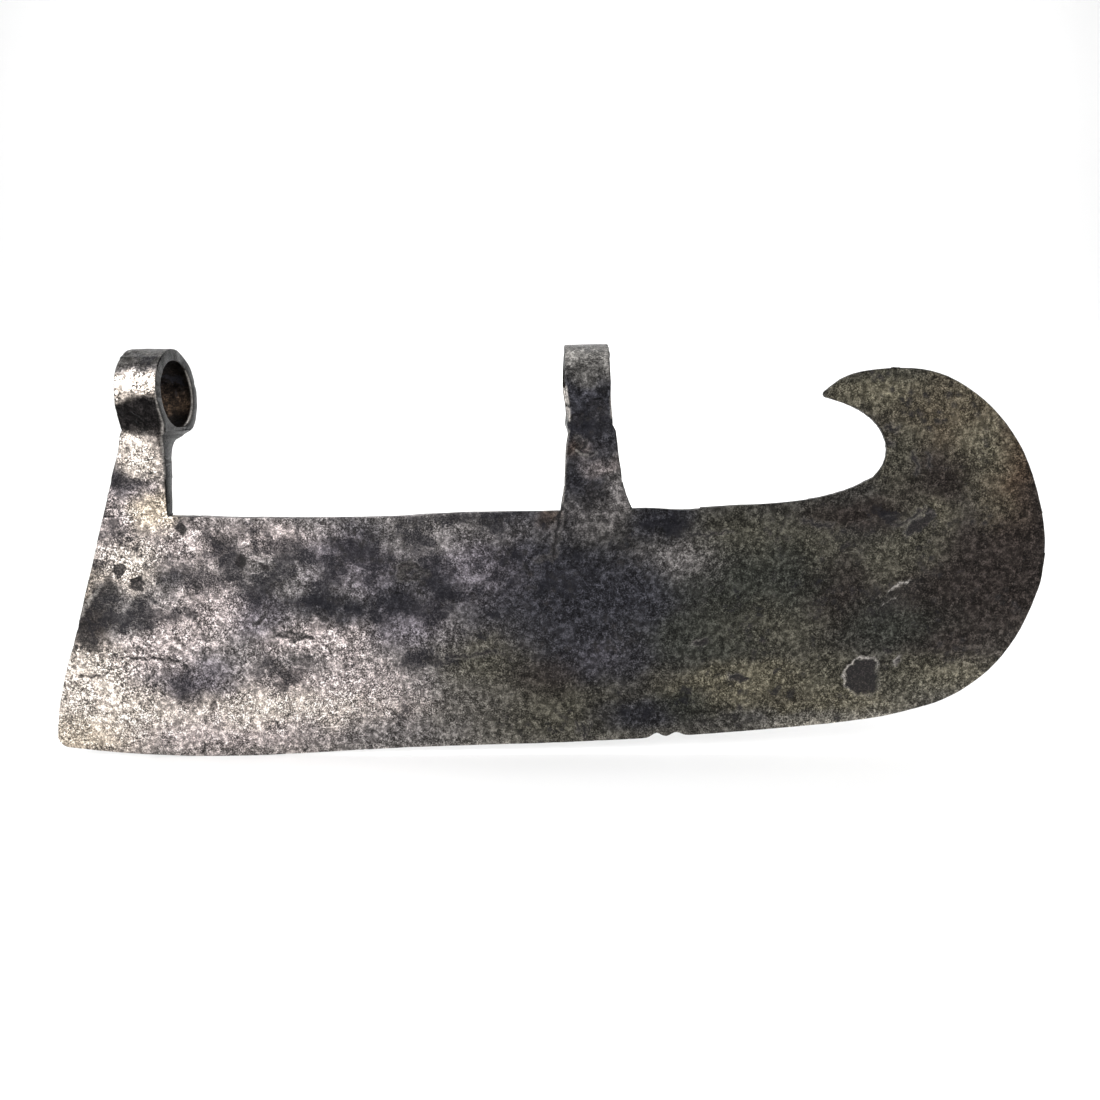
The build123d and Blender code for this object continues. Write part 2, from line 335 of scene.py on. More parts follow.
# %% The marks on the front, and on the back
FRONT_PITS = [
    # place, size, turn, depth, lip, flat side
    ((361.4, -148.8), (10.4, 10.2), 8, 0.62, 0.36, 6.6),
    ((213.0, 1.5), (4.5, 6.0), 10, 0.5, 0.0, None),
    ((221.5, -9.0), (6.0, 5.0), -20, 0.6, 0.03, None),
    ((211.0, -14.5), (4.0, 3.4), 0, 0.5, 0.05, None),
    ((219.0, -51.0), (4.0, 6.5), 12, 0.6, 0.05, None),
    ((-5.0, -12.0), (6.0, 3.4), 15, 0.4, 0.0, None),
    ((5.0, -34.0), (3.0, 5.0), 30, 0.35, 0.02, None),
    ((-14.0, -44.0), (3.6, 5.2), -20, 0.4, 0.06, None),
    ((384.0, -68.8), (8.4, 3.4), 36, 0.75, 0.25, None),
    ((389.6, -63.6), (2.6, 3.2), 20, 0.55, 0.15, None),
    ((372.8, -134.9), (2.6, 1.7), -35, 0.45, 0.10, None),
    ((378.0, -140.4), (2.2, 1.0), 55, 0.30, 0.40, None),
    ((295.8, -148.6), (5.4, 2.1), -12, 0.60, 0.24, None),
    ((275.6, -129.2), (4.2, 1.9), 12, 0.75, 0.26, None),
    ((272.0, -122.6), (4.0, 2.0), -4, 0.35, 0.0, None),
    ((291.0, -122.4), (5.0, 1.2), 0, 0.30, 0.0, None),
    ((315.3, -145.0), (2.0, 1.3), 40, 0.45, 0.12, None),
    ((326.0, -144.6), (1.8, 1.0), 0, 0.35, 0.0, None),
    ((397.9, -118.3), (1.8, 1.4), 0, 0.40, 0.15, None),
    ((125.0, -88.6), (4.4, 3.4), 30, 0.50, 0.24, None),
    ((20.9, -160.3), (2.6, 2.4), 0, 0.55, 0.12, None),
    ((-20.0, -87.2), (3.0, 4.6), -20, 0.55, 0.20, None),
    ((-12.0, -94.5), (4.6, 4.0), 25, 0.45, 0.20, None),
    ((-27.0, -97.4), (7.0, 3.2), 28, 0.45, 0.10, None),
    ((42.0, -83.5), (2.6, 4.4), 8, 0.45, 0.15, None),
    ((53.4, -86.0), (3.6, 1.7), -14, 0.40, 0.18, None),
    ((36.0, -72.0), (9.0, 3.2), 6, 0.30, 0.08, None),
    ((13.0, -66.0), (2.6, 3.4), 30, 0.40, 0.20, None),
    ((136.5, -137.2), (4.6, 2.6), -10, 0.40, 0.10, None),
    ((147.0, -134.8), (3.2, 2.0), 0, 0.35, 0.08, None),
    ((71.0, -137.0), (7.0, 3.0), -4, 0.25, 0.08, None),
    ((56.0, -150.0), (3.4, 2.6), -30, 0.22, 0.06, None),
    ((-40.0, -126.0), (8.0, 3.0), -30, 0.30, 0.10, None),
    ((94.0, -100.0), (3.0, 2.0), 60, 0.25, 0.05, None),
    ((253.0, -66.0), (6.0, 3.4), -40, 0.22, 0.0, None),
]
FRONT_CRACKS = [
    # broken line, width, depth
    ([(56, -123.4), (62, -123.0), (66, -125.6), (70, -124.4), (75, -123.6)], 0.75, 0.55),
    ([(64.5, -121.0), (67.5, -124.0), (71.5, -120.4)], 0.55, 0.4),
    ([(-46, -143.4), (-38, -143.8), (-33, -142.2)], 0.6, 0.4),
    ([(-24, -133.4), (-14, -134.4), (-4, -134.2), (5, -135.8)], 0.55, 0.35),
    ([(144, -134.4), (152, -135.4), (158, -134.6), (169, -132.2)], 0.55, 0.4),
    ([(67.7, -179.5), (67.2, -190)], 0.45, 0.6),
    ([(13.6, -181.0), (13.2, -190)], 0.4, 0.5),
    ([(214.6, -172.6), (215.6, -183)], 0.5, 0.6),
    ([(211.0, -172.0), (212.2, -177.0)], 0.4, 0.35),
    ([(218.4, -172.4), (217.2, -177.4)], 0.4, 0.35),
    ([(52.0, -110.0), (49.0, -115.5), (47.0, -117.0)], 0.5, 0.3),
    ([(190.5, -84.6), (197.0, -82.8)], 0.5, 0.35),
    ([(120.7, -92.6), (122.0, -87.6), (126.8, -85.0), (130.5, -87.6)], 0.6, 0.45),
    ([(122.0, -93.4), (128.0, -93.8), (134.6, -90.4)], 0.6, 0.5),
    ([(326.0, -66.0), (336.0, -69.5), (341.0, -68.0)], 0.5, 0.3),
    ([(268.0, -72.0), (276.0, -73.0), (290.0, -71.0)], 0.45, 0.25),
    ([(364.6, -20.2), (369.4, -21.0)], 0.7, 0.6),
    ([(365.4, -27.0), (368.0, -28.6)], 0.6, 0.6),
    ([(378.0, -33.0), (381.5, -38.0), (381.0, -43.0)], 0.45, 0.3),
    ([(386.0, -33.0), (387.5, -39.5)], 0.4, 0.25),
    ([(372.0, -69.5), (380.0, -66.5), (386.0, -60.5)], 0.6, 0.4),
    ([(202.3, -57.5), (201.3, -66.0), (200.7, -74.0), (199.6, -83.0)], 0.75, 0.5),
    ([(212.0, -24.0), (216.0, -27.0), (214.0, -30.5), (219.0, -31.5)], 0.7, 0.4),
]
FRONT_FLAKES = [
    # line, depth, reach
    ([(368.0, -110.8), (371.5, -109.6), (374.8, -107.2)], 0.5, 7.0),
    ([(371.0, -104.6), (374.6, -101.2), (378.0, -98.6), (381.5, -98.2)], 0.55, 8.0),
    ([(-52.0, -126.0), (-38.0, -104.0), (-30.0, -96.0)], 0.35, 10.0),
    ([(345.0, -72.0), (356.0, -66.5), (372.0, -64.0)], 0.22, 6.0),
]
BACK_PITS = [
    ((40.0, -120.0), (9.0, 5.4), 20, 0.8, 0.25, None),
    ((150.0, -85.0), (4.0, 3.0), -30, 0.5, 0.2, None),
    ((163.0, -92.0), (2.4, 2.0), 0, 0.5, 0.15, None),
    ((300.0, -110.0), (7.0, 3.0), 15, 0.6, 0.2, None),
    ((372.0, -45.0), (3.0, 3.6), 0, 0.45, 0.15, None),
    ((-30.0, -150.0), (3.4, 2.2), 40, 0.45, 0.15, None),
    ((405.0, -110.0), (5.0, 3.6), 60, 0.5, 0.2, None),
]
BACK_CRACKS = [
    ([(90, -140), (104, -141.5), (118, -139.5), (131, -141)], 0.6, 0.45),
    ([(230, -150), (243, -148.6), (252, -150.4)], 0.6, 0.4),
    ([(330, -80), (342, -83), (350, -81.5)], 0.6, 0.4),
]


def marks(x, z, pits, cracks, flakes):
    """How far the marks move the surface in mm, the dirt they hold and how bright their
    lips are, from rubbing and a painted highlight."""
    height, dirt, shine = (np.zeros(x.shape) for _ in range(3))
    x, z = ragged(x, z)
    found = [pit(x, z, place, size, turn, depth, lip, flat)
             for place, size, turn, depth, lip, flat in pits]
    found += [crack(x, z, points, width, depth) for points, width, depth in cracks]
    found += [flake(x, z, points, depth, reach) for points, depth, reach in flakes]
    for h, inside, rubbed in found:
        height = height + h
        dirt, shine = np.maximum(dirt, inside), np.maximum(shine, rubbed)
    return height, dirt, shine


print("marks:", len(FRONT_PITS) + len(FRONT_CRACKS) + len(FRONT_FLAKES), "front,",
      len(BACK_PITS) + len(BACK_CRACKS), "back")

# %% [markdown]
# Under the marks lies the smith's work itself. Broad dents from the hammer run over
# every face, and rust has pitted it in patches. Noise that is seeded by the place gives
# both, and it is the same on two pieces that meet, so their shared line stays closed.

# %% Hammer dents and rust pits anywhere in space
def rough_iron(points):
    """Height in mm from dents and pits, and the dirt in the pits."""
    height, dirt = np.zeros(len(points)), np.zeros(len(points))
    for i, (x, y, z) in enumerate(points):
        p = Vector((x, y, z))
        h = 0.34 * noise.noise(p / 30) + 0.20 * noise.noise(p / 13)
        dish = noise.voronoi(p / 17)[0][0]
        h -= 0.16 * max(0.0, 1 - (dish / 0.62) ** 2)
        damp = noise.noise(p / 24 + Vector((9, 0, 4))) + 0.35 * noise.noise(p / 7)
        hole = noise.voronoi(p / 4.4)[0][0]
        d = max(0.0, 1 - hole / 0.42) * min(1.0, max(0.0, damp * 3.0 - 0.1))
        h -= 0.42 * d
        h += 0.05 * noise.noise(p / 2.3)
        height[i], dirt[i] = h, min(1.0, d * 1.7)
    return height, dirt


# %% [markdown]
# No forged outline is quite true either. The spine rises a little towards the centre
# strap, and two nicks lie side by side in the cutting edge. A push is a soft shove in
# the plane of the blade, strongest at its centre.

# %% Pushes that bend the outline
PUSHES = [
    # place, reach, shove, in mm
    ((160, -60), (34, 22), (0, 1.3)),
    ((246, -60), (13, 16), (0, 1.3)),
    ((330, -56), (45, 18), (0, 0.5)),
    ((-50, -146), (14, 22), (-1.2, 0)),
    ((390, -170), (16, 12), (0, 0.9)),
    ((253.4, -184), (3.2, 6.5), (0, 2.9)),
    ((263.8, -183), (3.6, 6.0), (0, 2.5)),
    ((258.4, -185), (1.8, 3.5), (0, -0.5)),
    ((361.2, -46), (2.4, 2.4), (0.4, -0.9)),
    ((364.0, -20.6), (1.4, 1.3), (0.8, -0.1)),
    ((366.4, -27.0), (1.1, 1.2), (0.8, 0.0)),
    ((-11, -16), (7, 9), (-1.4, 0)),
    ((206.5, -11), (9, 9), (1.7, 0)),
    ((203, -54), (9, 19), (1.8, 0)),
    ((231, -32), (8, 20), (1.6, 0)),
]


def pushed(points):
    """The points after every push."""
    moved = points.copy()
    for (px, pz), (rx, rz), (sx, sz) in PUSHES:
        pull = np.exp(-(((points[:, 0] - px) / rx) ** 2) - ((points[:, 2] - pz) / rz) ** 2)
        moved[:, 0] += sx * pull
        moved[:, 2] += sz * pull
    # The hook's point is drawn out finer than its CAD round.
    dx, dz = moved[:, 0] - 333.4, moved[:, 2] + 4.0
    pinch = 0.45 * np.exp(-(dx ** 2 + dz ** 2) / 9)
    moved[:, 0] -= pinch * dx
    moved[:, 2] -= pinch * dz
    return moved


print("pushes:", len(PUSHES))

# %% [markdown]
# ## Where the patina is light and where it is dark
#
# Iron that has been wiped and handled stays pale and warm. Where it was left alone it
# turns blue-grey, brown or nearly black, and each patch runs softly into the next. A
# few dozen soft brush strokes, each a patch with a colour, paint that on the vertices.
# The fine grain comes later, in the material. Four strokes on the heel eye also paint a
# highlight band and a dark reflection under it, and the patina paints shade on the strap
# sides, the hook's rims and the insides of the eyes.

# %% Palette and brush
PALETTE = {
    "cream": (0.52, 0.455, 0.40), "straw": (0.40, 0.335, 0.26), "pink": (0.37, 0.32, 0.31),
    "pale": (0.088, 0.084, 0.079), "grey": (0.140, 0.130, 0.128), "lilac": (0.115, 0.104, 0.118),
    "slate": (0.027, 0.027, 0.033), "olive": (0.064, 0.060, 0.046),
    "moss": (0.031, 0.0325, 0.0275), "umber": (0.025, 0.020, 0.018),
    "gold": (0.106, 0.096, 0.069), "rust": (0.068, 0.045, 0.029),
    "black": (0.0040, 0.0034, 0.0034), "shade": (0.038, 0.036, 0.033),
    # The last three colours are painted shade: the sides of the straps and the insides of the eyes.
    "side": (0.0085, 0.0081, 0.0077), "bore": (0.007, 0.005, 0.004),
    "bore shade brown": (0.012, 0.0078, 0.0050),
}


def brushed(x, z, strokes):
    """Blends elliptical strokes of colour over a thin base; strong ones have firm rims."""
    thin = 0.16
    total = np.full(x.shape, thin)
    right = smooth((x - 120) / 90)[:, None]
    colour = thin * (np.outer(1 - right, PALETTE["grey"]) + np.outer(right, PALETTE["shade"]))
    for name, (cx, cz), (rx, rz), strength in strokes:
        r2 = ((x - cx) / rx) ** 2 + ((z - cz) / rz) ** 2
        weight = strength * np.exp(-(r2 ** 2 if strength > 2.2 else r2))
        total = total + weight
        colour = colour + np.outer(weight, PALETTE[name])
    return colour / total[:, None]


# %% The front's patina, with painted light on the heel eye
FRONT_STROKES = [
    # The first four strokes lie on the heel eye. Its cream band is partly patina and partly a
    # painted highlight, and the black under it is partly patina and partly a painted dark
    # reflection.
    ("shade", (0, 18), (16, 5), 3.0), ("cream", (-1, 5), (16, 4.6), 4.0),
    ("grey", (2, 12), (14, 4), 1.0),
    ("black", (0, -9.5), (17, 9), 7.0), ("umber", (12, -22), (6, 10), 1.0),
    ("cream", (-6, -31), (10, 9), 1.1), ("slate", (-15, -37), (5, 7), 1.2),
    ("lilac", (-7, -46), (10, 6), 1.6), ("straw", (0, -56), (9, 9), 1.1),
    ("pink", (-22, -62), (10, 14), 0.8), ("cream", (-14, -83), (10, 10), 1.2),
    ("straw", (-38, -92), (8, 10), 0.6), ("umber", (-42, -112), (11, 12), 1.6),
    ("grey", (-30, -100), (10, 10), 0.9), ("grey", (-18, -117), (9, 7), 1.0),
    ("cream", (-42, -140), (14, 12), 1.2), ("cream", (-35, -160), (22, 14), 1.6),
    ("straw", (-48, -175), (16, 8), 1.0), ("pink", (-10, -135), (14, 9), 1.0),
    ("lilac", (8, -149), (20, 10), 1.3), ("pink", (5, -122), (14, 8), 1.1),
    ("pink", (25, -105), (14, 10), 0.9), ("cream", (55, -162), (48, 8), 0.95),
    ("pink", (30, -174), (40, 9), 0.8), ("pink", (85, -150), (26, 12), 1.0),
    ("grey", (70, -137), (12, 5), 1.3), ("pink", (80, -126), (20, 7), 1.0),
    ("lilac", (45, -110), (12, 10), 1.2), ("slate", (52, -103), (8, 6), 0.7),
    ("pink", (20, -75), (22, 9), 0.7), ("slate", (4, -90), (6, 6), 0.8),
    ("slate", (35, -78), (7, 6), 0.8), ("pink", (62, -72), (16, 6), 0.6),
    ("grey", (60, -90), (20, 12), 0.7), ("slate", (103, -72), (8, 6), 0.8),
    ("lilac", (88, -82), (16, 10), 0.9), ("slate", (78, -105), (9, 8), 1.0),
    ("slate", (95, -112), (9, 8), 1.0), ("slate", (118, -104), (9, 12), 1.2),
    ("lilac", (108, -88), (10, 10), 0.8), ("slate", (142, -98), (9, 8), 0.9),
    ("lilac", (125, -118), (14, 10), 1.0), ("lilac", (160, -88), (20, 12), 1.0),
    ("grey", (125, -145), (20, 14), 0.65), ("pink", (112, -158), (14, 12), 0.7),
    ("grey", (110, -174), (30, 9), 0.9), ("grey", (150, -70), (34, 6), 1.2),
    ("slate", (205, -104), (34, 15), 1.8), ("slate", (190, -85), (20, 10), 0.9),
    ("slate", (185, -66), (20, 6), 1.0), ("slate", (240, -104), (22, 14), 1.4),
    ("slate", (222, -133), (24, 12), 1.2), ("lilac", (226, -134), (12, 8), 0.3),
    ("umber", (195, -148), (16, 9), 0.8), ("olive", (180, -166), (36, 12), 1.4),
    ("olive", (160, -142), (18, 12), 1.0),
    ("grey", (160, -165), (22, 12), 0.5), ("slate", (240, -168), (16, 6), 1.3),
    ("moss", (268, -162), (11, 6), 1.0), ("slate", (256, -67), (12, 7), 1.2),
    ("grey", (268, -85), (15, 8), 1.2), ("moss", (300, -95), (32, 18), 1.4),
    ("olive", (300, -75), (25, 9), 0.8), ("moss", (275, -125), (25, 12), 1.2),
    ("olive", (310, -120), (24, 12), 0.8), ("gold", (300, -152), (26, 8), 2.1),
    ("umber", (322, -158), (10, 5), 0.9), ("gold", (345, -164), (22, 7), 2.15),
    ("pale", (338, -170), (30, 3), 1.5),
    ("olive", (340, -148), (16, 10), 1.0), ("umber", (345, -102), (12, 14), 1.2),
    ("olive", (335, -80), (12, 10), 0.8), ("umber", (364, -63), (12, 6), 1.3),
    ("olive", (384, -74), (14, 14), 1.0), ("gold", (393, -62), (8, 7), 0.8),
    ("olive", (372, -90), (14, 10), 0.9), ("moss", (380, -118), (20, 10), 1.4),
    ("umber", (404, -128), (16, 9), 1.2), ("umber", (400, -104), (26, 12), 1.6),
    ("olive", (385, -150), (14, 10), 0.9), ("gold", (408, -148), (20, 7), 0.9),
    ("umber", (435, -92), (16, 30), 2.1), ("umber", (440, -80), (12, 40), 0.8),
    ("umber", (408, -80), (18, 12), 0.9),
    ("umber", (396, -45), (11, 11), 1.5), ("olive", (372, -40), (10, 14), 0.8),
    ("gold", (395, -12), (18, 12), 0.9), ("rust", (395, -15), (20, 12), 0.6),
    ("gold", (415, -30), (12, 14), 1.4),
    ("rust", (430, -45), (9, 22), 1.0), ("gold", (360, -2), (12, 7), 2.0),
    ("moss", (362, 5), (12, 3), 0.7), ("olive", (375, -25), (8, 12), 0.8),
    ("umber", (376, -50), (10, 8), 0.7), ("umber", (345, -64), (16, 4), 0.8),
    ("rust", (196.5, -64), (4, 4), 0.9), ("black", (258, -70), (7, 5), 0.5),
    ("black", (268, -73), (4, 4), 0.5),
    ("gold", (424, -60), (9, 10), 0.6),
    ("pale", (219, 17), (16, 11), 4.0), ("slate", (217, -4), (13, 12), 1.7),
    ("grey", (224, -14), (5, 6), 0.2),
    ("slate", (218, -22), (12, 10), 1.4), ("rust", (214, -27), (6, 5), 1.0),
    ("slate", (213, -45), (10, 10), 1.2), ("black", (219, -51), (4, 6), 1.0),
    ("grey", (229, -54), (6, 10), 0.9), ("grey", (212, -62), (8, 9), 0.4),
    ("pink", (222, -38), (9, 3), 0.3),
]
BACK_STROKES = [
    ("umber", (0, -80), (30, 20), 1.0), ("grey", (-20, -150), (35, 25), 1.2),
    ("slate", (60, -100), (40, 22), 1.1), ("pink", (70, -160), (50, 14), 1.0),
    ("lilac", (140, -80), (40, 14), 0.9), ("grey", (150, -150), (40, 18), 0.9),
    ("slate", (225, -110), (40, 26), 1.3), ("olive", (290, -80), (40, 14), 0.9),
    ("umber", (310, -130), (30, 20), 1.0), ("gold", (330, -165), (40, 8), 1.0),
    ("moss", (370, -100), (24, 26), 1.0), ("umber", (420, -80), (22, 40), 1.2),
    ("gold", (395, -8), (24, 12), 1.0), ("olive", (370, -40), (18, 20), 0.9),
]


BLADE_MIDDLE = -13.8  # the blade's middle plane, in mm along Y
BARE_STEEL = (0.30, 0.28, 0.24)
BORE_REACH = 17.4  # the bore's radius and a little more, in mm


def patina(points, out):
    """The colour of every vertex: front strokes, back strokes, and a mix at the rims."""
    x, z = points[:, 0].copy(), points[:, 2].copy()
    for i, p in enumerate(points):
        v = Vector(p) / 15
        x[i] += 6 * noise.noise(v) + 2.5 * noise.noise(v * 3)
        z[i] += 5 * noise.noise(v + Vector((40, 0, 0))) + 2 * noise.noise(v * 3 + Vector((7, 7, 0)))
    front = brushed(x, z, FRONT_STROKES)
    back = brushed(x, z, BACK_STROKES)
    share = smooth((out[:, 1] + 0.4) / 0.8)[:, None]
    colour = front * (1 - share) + back * share
    at_edge = smooth((1.15 - np.abs(points[:, 1] - BLADE_MIDDLE)) / 0.6) * (points[:, 2] < -84)
    at_edge = (at_edge * (0.15 + 0.6 * smooth((x - 300) / 40)))[:, None]
    colour = colour * (1 - at_edge) + np.array(BARE_STEEL) * at_edge
    # Painted shade: on the hook end, the rim faces that turn away from front and back are darkened
    # by almost half.
    rim_painted_shade = smooth((0.8 - np.abs(out[:, 1])) / 0.3) * (points[:, 0] > 240) * (points[:, 2] > -84)
    colour = colour * (1 - 0.45 * rim_painted_shade[:, None])
    # Painted shade: the side faces of the straps, turned away from the light, are darkened towards
    # the side colour.
    on_strap = (points[:, 0] < 260) & (points[:, 2] > -60)
    side = (on_strap * smooth((np.abs(out[:, 0]) - 0.45) / 0.35))[:, None]
    colour = colour * (1 - side) + np.array(PALETTE["side"]) * side
    # Painted shade: the inside of each eye is painted nearly black, a little browner in a band
    # about 5 mm below the bore's axis.
    in_bore = on_strap & (np.hypot(points[:, 1], points[:, 2]) < BORE_REACH)
    worn = np.exp(-(((points[:, 2] + 5) / 6) ** 2))[:, None]
    bore_shade_dark, bore_shade_brown = np.array(PALETTE["bore"]), np.array(PALETTE["bore shade brown"])
    bore_painted_shade = bore_shade_dark * (1 - worn) + bore_shade_brown * worn
    return np.where(in_bore[:, None], bore_painted_shade, colour)


# %% Where dark scale still clings
SCALE_PATCHES = [
    # place, reach, amount
    ((40, -86), (60, 18), 0.75), ((-38, -110), (12, 14), 0.8), ((110, -98), (45, 20), 0.85),
    ((-16, -112), (16, 10), 0.8), ((5, -148), (18, 8), 0.6), ((62, -140), (14, 8), 0.8),
    ((215, -92), (40, 30), 0.45), ((150, -66), (40, 8), 0.6), ((255, -68), (16, 8), 0.8),
    ((-22, -62), (10, 12), 0.5), ((-10, -40), (12, 10), 0.6), ((135, -136), (16, 5), 0.9),
    ((217, -15), (14, 16), 0.7),
    ((240, -166), (20, 6), 0.6), ((268, -160), (12, 6), 0.6), ((320, -158), (20, 6), 0.5),
    ((365, -64), (16, 8), 0.5), ((397, -45), (12, 12), 0.4), ((300, -115), (30, 16), 0.3),
    ((0, 18), (12, 4), 0.5), ((2, 8), (12, 3), 0.2), ((380, -112), (24, 12), 0.35),
    ((410, -95), (14, 12), 0.3), ((335, -100), (14, 12), 0.4),
]


def scale_cover(x, z):
    """0 where the iron is bare, 1 where scale covers most of it."""
    cover = 0.34 - 0.2 * smooth((x - 120) / 120)
    for (cx, cz), (rx, rz), amount in SCALE_PATCHES:
        cover = cover + amount * np.exp(-(((x - cx) / rx) ** 2) - ((z - cz) / rz) ** 2)
    return np.clip(cover, 0, 1)


# %% Painted highlights along the strap edges, where their bevels catch the light
PAINTED_EDGE_HIGHLIGHTS = [
    # broken line, width, strength
    ([(206.3, 1.0), (206.4, -6.5)], 0.5, 0.9), ([(206.4, -9.0), (206.8, -15.0)], 0.5, 0.9),
    ([(207.3, -20.0), (205.5, -35.0), (202.8, -56.0)], 0.4, 0.5),
    ([(228.2, -5.0), (228.3, -13.0)], 0.5, 0.7), ([(10.0, 12.0), (10.1, -14.0)], 0.45, 0.5),
    ([(9.9, -14.0), (7.9, -22.0), (7.7, -40.0)], 0.45, 0.55),
    ([(-10.0, 8.0), (-10.2, -4.0)], 0.5, 0.5),
    ([(211.0, -29.0), (213.5, -31.5), (217.0, -32.0)], 0.5, 0.4),
]


def painted_edge_highlights(x, z):
    """How strong the painted edge highlights are at each place."""
    shine = np.zeros(x.shape)
    for points, width, strength in PAINTED_EDGE_HIGHLIGHTS:
        shine = np.maximum(shine, strength * np.exp(-((to_line(x, z, points) / width) ** 2)))
    return shine


print("strokes:", len(FRONT_STROKES), "front,", len(BACK_STROKES), "back")

# %% [markdown]
# ## The finish of old iron
#
# Close up, the iron is not one colour anywhere. Every half millimetre a bright worn
# point stands beside a dark pore, and thin dark scale still clings in ragged patches. A
# node group makes that grain once, from noise at four sizes, and each material gives it
# its own strengths. The patina and the dirt come from the piece's own attributes.

# %% Small helpers for node trees
def new_group(name, inputs, outputs):
    """An empty shader node group with named sockets."""
    group = bpy.data.node_groups.new(name, "ShaderNodeTree")
    for label, kind, value in inputs:
        socket = group.interface.new_socket(label, in_out="INPUT", socket_type=kind)
        if value is not None:
            socket.default_value = value
    for label, kind in outputs:
        group.interface.new_socket(label, in_out="OUTPUT", socket_type=kind)
    return group, group.nodes.new("NodeGroupInput"), group.nodes.new("NodeGroupOutput")


def join(tree, value, socket):
    """Links an output into a socket, or sets the socket to a plain value."""
    if isinstance(value, bpy.types.NodeSocket):
        tree.links.new(value, socket)
    elif value is not None:
        socket.default_value = value


def calc(tree, operation, a, b=None, c=None):
    """A Math node; its operands are outputs or numbers."""
    node = tree.nodes.new("ShaderNodeMath")
    node.operation = operation
    for socket, value in zip(node.inputs, (a, b, c)):
        join(tree, value, socket)
    return node.outputs[0]


def grain_noise(tree, place, size, detail=2.0, roughness=0.55, twist=0.0):
    """Noise whose largest grains are about size mm across."""
    node = tree.nodes.new("ShaderNodeTexNoise")
    join(tree, place, node.inputs["Vector"])
    node.inputs["Scale"].default_value = 1 / size
    node.inputs["Detail"].default_value = detail
    node.inputs["Roughness"].default_value = roughness
    node.inputs["Distortion"].default_value = twist
    return node.outputs["Fac"]


def ramp(tree, value, low, high, to_low=0.0, to_high=1.0):
    """A soft step from one value to another."""
    node = tree.nodes.new("ShaderNodeMapRange")
    node.interpolation_type = "SMOOTHSTEP"
    for label, v in (("Value", value), ("From Min", low), ("From Max", high),
                     ("To Min", to_low), ("To Max", to_high)):
        join(tree, v, node.inputs[label])
    return node.outputs["Result"]


def blend(tree, amount, a, b, how="MIX"):
    """A colour mix."""
    node = tree.nodes.new("ShaderNodeMix")
    node.data_type = "RGBA"
    node.blend_type = how
    join(tree, amount, node.inputs["Factor"])
    join(tree, a, node.inputs["A"])
    join(tree, b, node.inputs["B"])
    return node.outputs["Result"]


# %% The grain of old iron, as one node group
grain, took, gave = new_group(
    "old_iron_grain",
    [("Place", "NodeSocketVector", None), ("Patina", "NodeSocketColor", (0.3, 0.3, 0.3, 1)),
     ("Dirt", "NodeSocketFloat", 0.0), ("Scale Cover", "NodeSocketFloat", 0.5),
     ("Shine", "NodeSocketFloat", 0.0), ("Speckle", "NodeSocketFloat", 1.0),
     ("Smoothness", "NodeSocketFloat", 0.0)],
    [("Color", "NodeSocketColor"), ("Roughness", "NodeSocketFloat"),
     ("Metallic", "NodeSocketFloat"), ("Height", "NodeSocketFloat")],
)
place = took.outputs["Place"]
fine = grain_noise(grain, place, 0.85, 3.0, 0.75)
calm = grain_noise(grain, place, 9.0, 3.0, 0.6, 0.4)
medium = grain_noise(grain, place, 3.0, 4.0, 0.7, 0.2)
broad = grain_noise(grain, place, 13.0, 8.0, 0.72, 0.25)
cells = grain.nodes.new("ShaderNodeTexVoronoi")
join(grain, place, cells.inputs["Vector"])
cells.inputs["Scale"].default_value = 1 / 1.8
pores = ramp(grain, cells.outputs["Distance"], 0.10, 0.32, 1.0, 0.0)
pores = calc(grain, "MULTIPLY", pores, ramp(grain, medium, 0.46, 0.58))

# Bright worn points stand out most where the patina is pale.
paleness = grain.nodes.new("ShaderNodeRGBToBW")
join(grain, took.outputs["Patina"], paleness.inputs["Color"])
gain = ramp(grain, paleness.outputs["Val"], 0.03, 0.40, 0.85, 1.3)
gain = calc(grain, "MULTIPLY", gain, ramp(grain, calm, 0.38, 0.58, 0.45, 1.25))
gain = calc(grain, "MULTIPLY", gain, took.outputs["Speckle"])
speck = calc(grain, "MULTIPLY", ramp(grain, fine, 0.35, 0.65, -1.0, 1.0), gain)
mottle = ramp(grain, medium, 0.36, 0.64, -0.8, 0.8)
drift = ramp(grain, calm, 0.36, 0.64, 0.35, -0.35)
light = calc(grain, "POWER", 2.5, calc(grain, "ADD", calc(grain, "ADD", speck, mottle), drift))

# Scale clings in ragged patches, and the grain shows through it.
edge_of = calc(
    grain, "ADD", calc(grain, "MULTIPLY", broad, 0.72), calc(grain, "MULTIPLY", medium, 0.28)
)
limit = ramp(grain, took.outputs["Scale Cover"], 0.0, 1.0, 0.63, 0.485)
above = calc(grain, "SUBTRACT", edge_of, limit)
scale = ramp(grain, above, -0.03, 0.035)
dark = calc(grain, "ADD", calc(grain, "MULTIPLY", scale, 0.70), calc(grain, "MULTIPLY", pores, 0.5))
dark = calc(grain, "MINIMUM", dark, 0.88)
bright = calc(grain, "MULTIPLY", light, calc(grain, "SUBTRACT", 1.0, dark))

level = grain.nodes.new("ShaderNodeCombineColor")
for channel in ("Red", "Green", "Blue"):
    join(grain, bright, level.inputs[channel])
shade = blend(grain, 1.0, took.outputs["Patina"], level.outputs["Color"], "MULTIPLY")
bluish = blend(grain, calc(grain, "MULTIPLY", scale, 0.3), shade, (0.036, 0.036, 0.046, 1))
dark_crust, brown_crust = (0.0028, 0.0020, 0.0022, 1), (0.040, 0.028, 0.030, 1)
crust = blend(grain, ramp(grain, fine, 0.5, 0.66), dark_crust, brown_crust)
rusty = blend(grain, calc(grain, "MULTIPLY", took.outputs["Dirt"], 0.94), bluish, crust)
